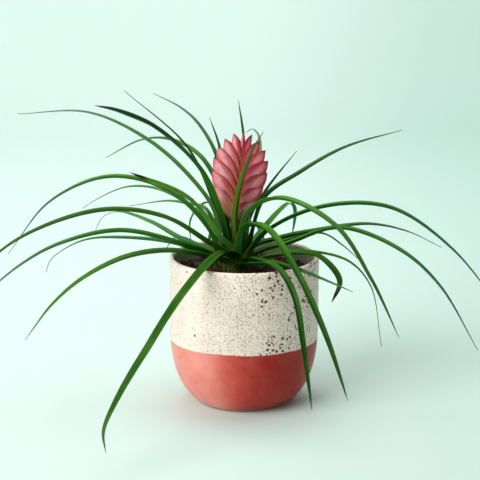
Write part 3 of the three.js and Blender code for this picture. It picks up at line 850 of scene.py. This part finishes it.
def makeBract(number, material):
    # place runs from 0 for the lowest bract to 1 for the top one, and side is 1 on the right
    shape = bractSettings
    place = number / (shape["count"] - 1)
    side = 1 if number % 2 == 0 else -1
    insertion = shape["insertion"] * place
    tip = shape["firstTip"] + (shape["height"] - shape["firstTip"]) * (1 - (1 - place) ** 1.6)
    reach = shape["width"] * math.sin(math.pi * (0.25 + 0.73 * place))
    half = shape["thickness"] * (1 - 0.5 * place)
    length = tip - insertion
    shares = np.linspace(0, 1, shape["rings"])
    keel = bezierPoints((side * shape["footReach"], insertion - shape["keelDrop"]),
                        (side * (shape["keelBow"] * reach + shape["keelOut"]),
                         insertion + shape["keelBend"] * length),
                        (side * reach, tip), shares)
    margin = bezierPoints((-side * shape["footReach"], insertion + shape["marginRise"]),
                          (side * shape["marginBow"] * reach, insertion + shape["marginBend"] * length),
                          (side * (reach - shape["tipIn"]), tip - shape["tipDrop"]), shares)

    # each tip stands a little out of the head's outline, the lowest right one the most
    beak = np.stack([side * shape["beak"] + 0 * shares, shape["beakRise"] + 0 * shares], axis=1)
    if side > 0:
        beak[:, 0] += shape["lowBeak"] * max(0, 1 - place * 5)
    beak *= (np.clip((shares - shape["beakFrom"]) / (1 - shape["beakFrom"]), 0, 1) ** 2)[:, None]
    keel, margin = keel + beak, margin + beak
    outer = np.linspace(0, 1, shape["flank"])
    rings, across, along = [], [], []
    for t, k, m in zip(shares, keel, margin):
        swell = half * (1 - t ** 2.2) * (0.75 + 0.5 * t) + shape["skin"]
        front = [(k + (m - k) * v, swell * (1 - (1 - v) ** 2.4) + shape["lip"] * v ** 6 * (1 - t))
                 for v in outer]
        hollow = shape["hollow"] * math.sin(math.pi * min(1, t * 1.2)) if t < 0.83 else 0
        inner = [(m + (k - m) * (0.03 + 0.1 * (1 - abs(w)) * hollow), w * front[-1][1])
                 for w in shape["marginSteps"]]
        ring = [(p[0], y, p[1]) for p, y in front] + [(p[0], y, p[1]) for p, y in inner]
        ring += [(p[0], -y, p[1]) for p, y in reversed(front[1:])]
        rings.append(ring)
        across.append(list(outer) + [1] * len(inner) + list(outer[:0:-1]))
        along.append([t] * len(ring))
    rings = np.array(rings) * mm
    turn, lean = math.radians(-shape["turn"]), math.radians(shape["lean"])
    x, y, z = rings[..., 0], rings[..., 1], rings[..., 2]
    x, y = x * math.cos(turn) - y * math.sin(turn), x * math.sin(turn) + y * math.cos(turn)
    x, z = x * math.cos(lean) + z * math.sin(lean), z * math.cos(lean) - x * math.sin(lean)
    x += (leafSettings["crownX"] + stalkSettings["lean"]) * mm
    z += stalkSettings["head"] * mm
    rings = np.stack([x, y, z], axis=-1)
    full = np.ones(np.shape(across))
    name = f"bract{number + 1}"
    mesh = ringMesh(name, rings, {"across": across, "along": along, "rank": full * place,
                                  "side": full * side})
    placeOn(addPiece(name, mesh, material), ["flower_bracts"])


bractMaterial = makeBractMaterial()
for bractNumber in range(bractSettings["count"]):
    makeBract(bractNumber, bractMaterial)
print("flower head made")


# Pot: cream glaze with specks above, dipped in a rose glaze below

potSettings = {
    # inside is a painted green reflection and shade within the bowl
    "cream": "#f6e8dc", "creamShade": "#e4d2c4", "inside": "#92b088", "fine": "#9c6450", "speck": "#6a2a16",
    # rosePale and roseDeep are partly the glaze's own colour, partly painted light and painted shade
    "darkSpeck": "#3a1208", "rose": "#d2463a", "rosePale": "#f6aa9c", "roseDeep": "#8a0c04",
    # lip is a painted highlight along the rim
    "lip": "#fbf1e2", "foot": "#b98d6c", "creamRoughness": 0.42, "roseRoughness": 0.32,
    # millimetres; under the shoulder the body draws in to the foot, and the rose glaze stands out by dipStep
    "radius": 57.5, "height": 114, "wall": 4, "floor": 6, "footRadius": 34, "shoulder": 80, "roundness": 3.2,
    "around": 192, "dipHeight": 50, "dipStep": 0.25, "dipRound": 0.35, "edgeWander": 0.9, "edgeBlend": 0.3,
    # how far the rose glaze's edge rises to the right and to the back, and its waves' count, size and phase
    "dipTilt": (0.5, -1.2), "dipWaves": ((3, 0.35, 1), (7, 0.2, 2)),
    # degrees from the right towards the back, where the glaze is most heavily specked and the rose glaze
    # takes its painted shade
    "speckAndShadeSide": -47,
}


def potRadius(height, inward=0):
    # the body's radius at a height, and inside it by the wall's thickness or any other distance
    shape = potSettings
    power = shape["roundness"]
    narrowing = shape["footRadius"] / shape["radius"]
    depth = shape["shoulder"] / (1 - narrowing ** power) ** (1 / power) - inward
    under = max(0, (shape["shoulder"] - height) / depth)
    return (shape["radius"] - inward) * (1 - under ** power) ** (1 / power)


def potOutline():
    # radius and height from the middle of the underside, up the outside, over the lip and down inside
    shape = potSettings
    wall, top, radius = shape["wall"], shape["height"], shape["radius"]
    outline = [(0.5, 0.4), (16, 0.4), (27, 0.3), (29.5, 0.0), (shape["footRadius"] - 0.6, 0.0),
               (shape["footRadius"] - 0.1, 0.3)]
    # the rings stand closest where the edge of the rose glaze runs
    for height in (*np.linspace(0.9, 46, 44), *np.linspace(46.5, 54, 26), *np.linspace(55, 109, 40)):
        outline.append((potRadius(height), height))
    half = wall / 2
    for turn in np.linspace(0, math.pi, 17):
        outline.append((radius - half + half * math.cos(turn), top - half * 0.85 * (1 - math.sin(turn))))
    for height in (*np.linspace(109, 84, 12), *np.linspace(80, shape["floor"] + 1.5, 30)):
        outline.append((potRadius(height, wall), height))
    last = outline[-1][0]
    outline += [(last - 1.5, shape["floor"] + 0.2), (last - 4, shape["floor"]), (last * 0.5, shape["floor"]),
                (0.5, shape["floor"])]
    return outline


def dipLine(azimuth):
    # height of the edge between the two glazes
    toRight, toBack = potSettings["dipTilt"]
    height = potSettings["dipHeight"] + toBack * np.sin(azimuth) + toRight * np.cos(azimuth)
    for count, size, phase in potSettings["dipWaves"]:
        height = height + size * np.sin(count * azimuth + phase)
    return height


def makePotMaterial():
    look = potSettings
    material, tree, shader = startMaterial("glaze", look["creamRoughness"], Specular_IOR_Level=0.12,
                                           Coat_Roughness=0.3)
    place = objectPlace(tree)
    x, y, z = splitPlace(tree, place)
    dip = surfaceValue(tree, "dip")
    inside = surfaceValue(tree, "inside")
    wobble = addNode(tree, "ShaderNodeTexNoise", {"Vector": place, "Scale": 160.0, "Detail": 2.0})
    edge = dip + (Field(tree, wobble.outputs[0]) - 0.5) * (look["edgeWander"] * mm)
    rose = edge.ramp(look["edgeBlend"] * mm, -look["edgeBlend"] * mm)

    # specks: fine ones everywhere, larger ones thicker towards the front right
    azimuth = y.do("ARCTAN2", x)
    speckAndShadeFacing = (azimuth - math.radians(look["speckAndShadeSide"])).do("COSINE")
    patches, = useGroup(tree, mottleGroup, Place=place, Scale=28.0, Seed=2.0)
    groups, = useGroup(tree, mottleGroup, Place=place, Scale=62.0, Seed=11.0)
    dense = speckAndShadeFacing.ramp(0.1, 0.9) * 0.8 + patches * 0.2
    fineDots = useGroup(tree, speckGroup, Place=place, Spacing=1000.0, Size=0.45, Share=1.0)[0]
    midDots, midTint = useGroup(tree, speckGroup, Place=place, Spacing=760.0, Size=0.42,
                                Share=dense * 0.75 + 0.12)
    bigDots, bigTint = useGroup(tree, speckGroup, Place=place, Spacing=330.0, Size=0.5,
                                Share=speckAndShadeFacing.ramp(0.78, 0.93) * groups.ramp(0.3, 0.7) * 0.95 + 0.012)
    clouds, = useGroup(tree, mottleGroup, Place=place, Scale=45.0, Seed=8.0)
    cream = mixColour(tree, clouds * 0.5, look["cream"], look["creamShade"])
    cream = layColours(tree, cream, look, (
        # painted reflection and shade: the inside of the bowl is tinted a darker green
        (inside * 0.75, "inside"),
        # painted highlight: a paler band along the top of the lip
        (z.ramp(0.1118, 0.1132) * 0.5, "lip"),
        (fineDots * (dense * 0.35 + 0.4), "fine"),
    ))
    midSpeck = mixColour(tree, midTint, look["speck"], look["fine"])
    bigSpeck = mixColour(tree, bigTint, look["darkSpeck"], look["speck"])
    cream = mixColour(tree, midDots * 0.9, cream, midSpeck)
    cream = mixColour(tree, bigDots * 0.92, cream, bigSpeck)
    # the rose glaze is paler away from that side and deeper towards it: partly its own patchy colour, partly
    # painted light on the lit left and painted shade on the right
    red = mixColour(tree, clouds * 0.2 + speckAndShadeFacing.ramp(0.75, 0.2) * 0.55, look["rose"], look["rosePale"])
    red = layColours(tree, red, look, (
        (patches * 0.15 + speckAndShadeFacing.ramp(0.4, 1.0) * 0.65, "roseDeep"),
        (bigDots * 0.25, "roseDeep"),
    ))
    underside = z.ramp(0.0022, 0.0012)
    colour = mixColour(tree, rose * (1.0 - inside), cream, red)
    colour = mixColour(tree, underside, colour, look["foot"])
    feed(tree, shader.inputs["Base Color"], colour)
    rough = rose * (look["roseRoughness"] - look["creamRoughness"]) + look["creamRoughness"]
    feed(tree, shader.inputs["Roughness"], rough + bigDots * 0.15 + underside * 0.3)
    shine = (1.0 - rose) * (1.0 - (bigDots + midDots * 0.6).do("MINIMUM", 1.0))
    feed(tree, shader.inputs["Coat Weight"], shine * 0.35 + rose * 0.08)
    addBump(tree, shader, clouds * 0.3 - bigDots * 0.3, distance=0.4 * mm, strength=0.35)
    return material


def makePot():
    shape = potSettings
    turns = ringTurns(shape["around"])
    outline = potOutline()
    peak = max(range(len(outline)), key=lambda i: outline[i][1])
    rings, dips, insides = [], [], []
    for i, (radius, height) in enumerate(outline):
        dip = height - dipLine(turns)
        if i < peak and height > 1:
            # the cream glaze, above the edge, lies a step lower than the rose one
            radius = radius - shape["dipStep"] / (1 + np.exp(-dip / shape["dipRound"]))
        rings.append(roundRing(turns, radius, height))
        dips.append(dip * mm)
        insides.append(np.full(len(turns), float(i > peak)))
    mesh = ringMesh("potGlazed", rings, {"dip": dips, "inside": insides})
    placeOn(addPiece("potGlazed", mesh, makePotMaterial()), ["pot"])


makePot()
print("pot made")


# Potting mix: a lumpy bed with loose bark chips on it

mixSettings = {
    "dark": "#24160d", "brown": "#4c301d", "red": "#5e3524", "grey": "#83745e", "pale": "#a88d62",
    "roughness": 0.82,
    # the bed in millimetres: it stops a gap short of the pot, and the root's hole goes down to holeFoot
    "edge": 100.5, "middle": 98.6, "reach": 53.2, "gap": 0.3, "lump": 0.8, "around": 96,
    "holeRadius": 9.3, "holeFoot": 65.6, "holeTop": 84, "sideTop": 88,
    # the chips: millimetres, with shares for their sides and radians for their tilt; they keep clear of the
    # crown and leave a margin along the pot
    "chipLow": 2.2, "chipHigh": 7.5, "chipSides": (1.0, 0.62, 0.34), "chipTilt": 0.7, "chipRagged": 3.5,
    "chipsPerSquareMetre": 150000.0, "clear": 15.5, "margin": 2.6,
}


def makeMixMaterial():
    look = mixSettings
    material, tree, shader = startMaterial("bark", look["roughness"])
    place = objectPlace(tree)
    chip = surfaceValue(tree, "chip")
    clouds, = useGroup(tree, mottleGroup, Place=place, Scale=260.0, Seed=4.0)
    colour = mixColour(tree, chip.ramp(0.1, 0.5), look["dark"], look["brown"])
    colour = layColours(tree, colour, look, (
        (chip.ramp(0.55, 0.8), "red"),
        (chip.ramp(0.8, 0.84), "grey"),
        (chip.ramp(0.93, 0.96), "pale"),
        (clouds * 0.5, "dark"),
    ))
    feed(tree, shader.inputs["Base Color"], colour)
    addBump(tree, shader, clouds, distance=0.8 * mm, strength=0.8)
    return material


def makeChipTree():
    # scatters bark chips on the bed's upper side, each with its own size, turn and tint
    shape = mixSettings
    tree = bpy.data.node_groups.new("barkChips", "GeometryNodeTree")
    source, result = addSockets(tree, {"Bed": "NodeSocketGeometry", "Density": "NodeSocketFloat",
                                       "Smallest": "NodeSocketFloat", "Largest": "NodeSocketFloat",
                                       "Seed": "NodeSocketInt", "Finish": "NodeSocketMaterial"},
                                {"Chips": "NodeSocketGeometry"})
    openPart = addNode(tree, "GeometryNodeInputNamedAttribute", data_type="FLOAT")
    openPart.inputs["Name"].default_value = "open"
    spread = addNode(tree, "GeometryNodeDistributePointsOnFaces",
                     {"Mesh": source.outputs["Bed"], "Selection": openPart.outputs[0],
                      "Density": source.outputs["Density"], "Seed": source.outputs["Seed"]})
    cube = addNode(tree, "GeometryNodeMeshCube",
                   {"Size": shape["chipSides"], "Vertices X": 4, "Vertices Y": 3, "Vertices Z": 3})
    size = addNode(tree, "FunctionNodeRandomValue", {"Seed": 3}, data_type="FLOAT")
    feed(tree, size.inputs[2], source.outputs["Smallest"])
    feed(tree, size.inputs[3], source.outputs["Largest"])
    turn = addNode(tree, "FunctionNodeRandomValue", {"Seed": 5}, data_type="FLOAT_VECTOR")
    feed(tree, turn.inputs[0], (-shape["chipTilt"], -shape["chipTilt"], 0.0))
    feed(tree, turn.inputs[1], (shape["chipTilt"], shape["chipTilt"], 6.28))
    tint = addNode(tree, "FunctionNodeRandomValue", {"Seed": 8}, data_type="FLOAT")
    points = storeAttribute(tree, spread.outputs[0], "chip", Field(tree, tint.outputs[1]))
    placed = addNode(tree, "GeometryNodeInstanceOnPoints",
                     {"Points": points, "Instance": cube.outputs[0], "Rotation": turn.outputs[0],
                      "Scale": size.outputs[1]})
    loose = addNode(tree, "GeometryNodeRealizeInstances", {0: placed.outputs[0]}).outputs[0]
    ragged = addNode(tree, "ShaderNodeTexNoise", {"Scale": 330.0, "Detail": 1.0})
    ragged = vectorCalc(tree, "SUBTRACT", ragged.outputs[1], (0.5, 0.5, 0.5))
    ragged = vectorCalc(tree, "SCALE", ragged, scale=shape["chipRagged"] * mm)
    loose = addNode(tree, "GeometryNodeSetPosition", {"Geometry": loose, "Offset": ragged}).outputs[0]
    dressed = addNode(tree, "GeometryNodeSetMaterial",
                      {"Geometry": loose, "Material": source.outputs["Finish"]})
    feed(tree, result.inputs["Chips"], dressed.outputs[0])
    return tree


def makeMix():
    shape, material = mixSettings, makeMixMaterial()
    turns = ringTurns(shape["around"])
    draw = random.Random(11)
    lumps = [(draw.uniform(3, 17), draw.uniform(0, 7), draw.uniform(0.4, 1.0)) for _ in range(9)]

    def bedHeight(radius):
        share = radius / shape["reach"]
        waves = sum(size * np.sin(scale * share + phase + round(scale) * turns)
                    for scale, phase, size in lumps)
        return shape["middle"] + (shape["edge"] - shape["middle"]) * share + shape["lump"] * waves * 0.25

    # radius, height and middle of each ring: up out of the root's hole, over the bed and down the pot's wall
    hole, reach, crownX = shape["holeRadius"], shape["reach"], leafSettings["crownX"]
    foot = potSettings["floor"] + shape["gap"]
    rows = [(0.5, shape["holeFoot"], crownX), (hole, shape["holeFoot"], crownX)]
    rows += [(hole, shape["holeTop"], crownX)]
    rows += [(radius, None, crownX * (reach - radius) / (reach - hole))
             for radius in np.linspace(hole, reach, 24)]
    rows += [(potRadius(height, potSettings["wall"] + shape["gap"]), height, 0)
             for height in np.linspace(shape["sideTop"], foot + 1.5, 18)]
    rows += [(rows[-1][0] - 4, foot, 0), (0.5, foot, 0)]
    rings, opened = [], []
    for radius, height, middle in rows:
        free = height is None and shape["clear"] < radius < reach - shape["margin"]
        rings.append(roundRing(turns, radius, bedHeight(radius) if height is None else height, middle))
        opened.append(np.full(len(turns), float(free)))
    mesh = ringMesh("barkBed", rings, {"open": opened, "chip": np.zeros(np.shape(opened))})
    chips = runTree(addPiece("chipGround", mesh), makeChipTree(),
                    {"Density": shape["chipsPerSquareMetre"], "Smallest": shape["chipLow"] * mm,
                     "Largest": shape["chipHigh"] * mm, "Seed": 21, "Finish": material}, "barkChips")
    placeOn(chips, [])
    placeOn(addPiece("barkBed", mesh, material), ["potting_mix"])


makeMix()
print("potting mix made")


# Stage, light and camera

stageSettings = {
    "mint": "#dcf1eb", "mintShadeRight": "#c8e2da", "roughness": 0.95, "air": "#fff6ee", "airStrength": 0.13,
    # metres: the floor runs back to a bend, which turns it up into the wall
    "front": -9.0, "halfWidth": 9.0, "bendFrom": 1.2, "bend": 0.8, "top": 3.5, "drop": 0.0002,
    "camera": (-0.00305, -1.1668, 0.4059), "cameraAim": (-0.00305, 0, 0.12575), "lens": 118.2, "sensor": 36,
}
plantMiddle = (-0.003, 0, 0.126)
# name, place, aim, size, power and colour of each light
lightRows = [
    ("keyLight", (-1.6, -1.42, 1.3), plantMiddle, 1.8, 64, (1.0, 0.98, 0.965)),
    ("fillLight", (1.3, -2.0, 1.0), plantMiddle, 1.6, 2.5, (1.0, 0.97, 0.95)),
    ("topLight", (-0.2, 0.7, 1.9), plantMiddle, 1.0, 6, (1, 1, 1)),
    ("wallLight", (0.2, 0.4, 1.9), (0.3, 2.2, 0.3), 1.8, 23, (1, 1, 1)),
]


def makeStage():
    shape = stageSettings
    start, bend, half = shape["bendFrom"], shape["bend"], shape["halfWidth"]
    profile = [(shape["front"], 0.0), (start, 0.0)]
    profile += [(start + bend * math.sin(a), bend - bend * math.cos(a))
                for a in np.linspace(0.1, math.pi / 2, 14)]
    profile += [(start + bend, shape["top"])]
    places = [(x, y, z - shape["drop"]) for y, z in profile for x in (-half, half)]
    faces = [(2 * i, 2 * i + 1, 2 * i + 3, 2 * i + 2) for i in range(len(profile) - 1)]
    mesh = bpy.data.meshes.new("backdrop")
    mesh.from_pydata(places, [], faces)
    mesh.shade_smooth()
    material, tree, shader = startMaterial("backdropMint", shape["roughness"], Specular_IOR_Level=0.0)
    x, _, z = splitPlace(tree, objectPlace(tree))
    # painted shade: the backdrop darkens towards the right and downwards
    feed(tree, shader.inputs["Base Color"],
         mixColour(tree, (x - z * 0.4).ramp(-0.1, 0.36), shape["mint"], shape["mintShadeRight"]))
    backdrop = addPiece("backdrop", mesh, material)


def addAimed(name, data, place, aim):
    # a light or a camera that looks from its place towards the aim
    holder = bpy.data.objects.new(name, data)
    holder.location = place
    holder.rotation_euler = (Vector(aim) - Vector(place)).to_track_quat("-Z", "Y").to_euler()
    bpy.context.scene.collection.objects.link(holder)
    return holder


def makeLightAndCamera():
    shape = stageSettings
    for name, place, aim, size, power, colour in lightRows:
        light = bpy.data.lights.new(name, "AREA")
        light.size = size
        light.energy = power
        light.color = colour
        addAimed(name, light, place, aim)
    world = bpy.data.worlds.new("mintRoom")
    world.use_nodes = True
    background = world.node_tree.nodes["Background"]
    background.inputs[0].default_value = linearColour(shape["air"])
    background.inputs[1].default_value = shape["airStrength"]
    bpy.context.scene.world = world
    camera = bpy.data.cameras.new("camera")
    camera.lens = shape["lens"]
    camera.sensor_width = shape["sensor"]
    bpy.context.scene.camera = addAimed("camera", camera, shape["camera"], shape["cameraAim"])
    bpy.context.scene.view_settings.view_transform = "Standard"


makeStage()
makeLightAndCamera()
print("stage made")
